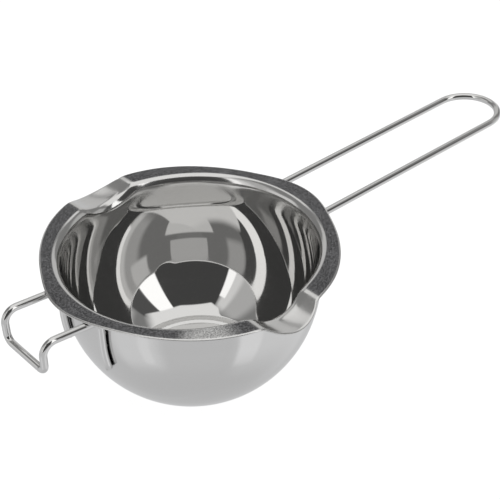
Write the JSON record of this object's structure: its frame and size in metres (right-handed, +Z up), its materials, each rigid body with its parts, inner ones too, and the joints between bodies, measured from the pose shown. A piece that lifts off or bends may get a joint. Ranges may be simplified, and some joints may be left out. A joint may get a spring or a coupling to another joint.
{
  "type": "candle melting pot",
  "caption": "Round-bottomed steel pouring pot with a flat rim, two opposed pouring lips, a long wire loop handle and a short wire support hook.",
  "frame": {"origin": "centre of the round resting face under the bowl", "axes": "+Z up along the bowl axis, +X from the bowl axis along the long handle, -Y towards the front pouring lip"},
  "size_m": [0.2937, 0.1507, 0.0691],
  "materials": {
    "bowl_steel": "mirror-polished pressed stainless sheet, with a finer satin grain on the flat rim",
    "wire_steel": "drawn and polished round stainless wire",
    "weld_steel": "dull grey resistance-weld metal"
  },
  "bodies": {
    "root": {"bowl": "bowl_steel", "long_handle": "wire_steel", "support_hook": "wire_steel", "handle_welds": "weld_steel", "hook_welds": "weld_steel"}
  },
  "joints": []
}
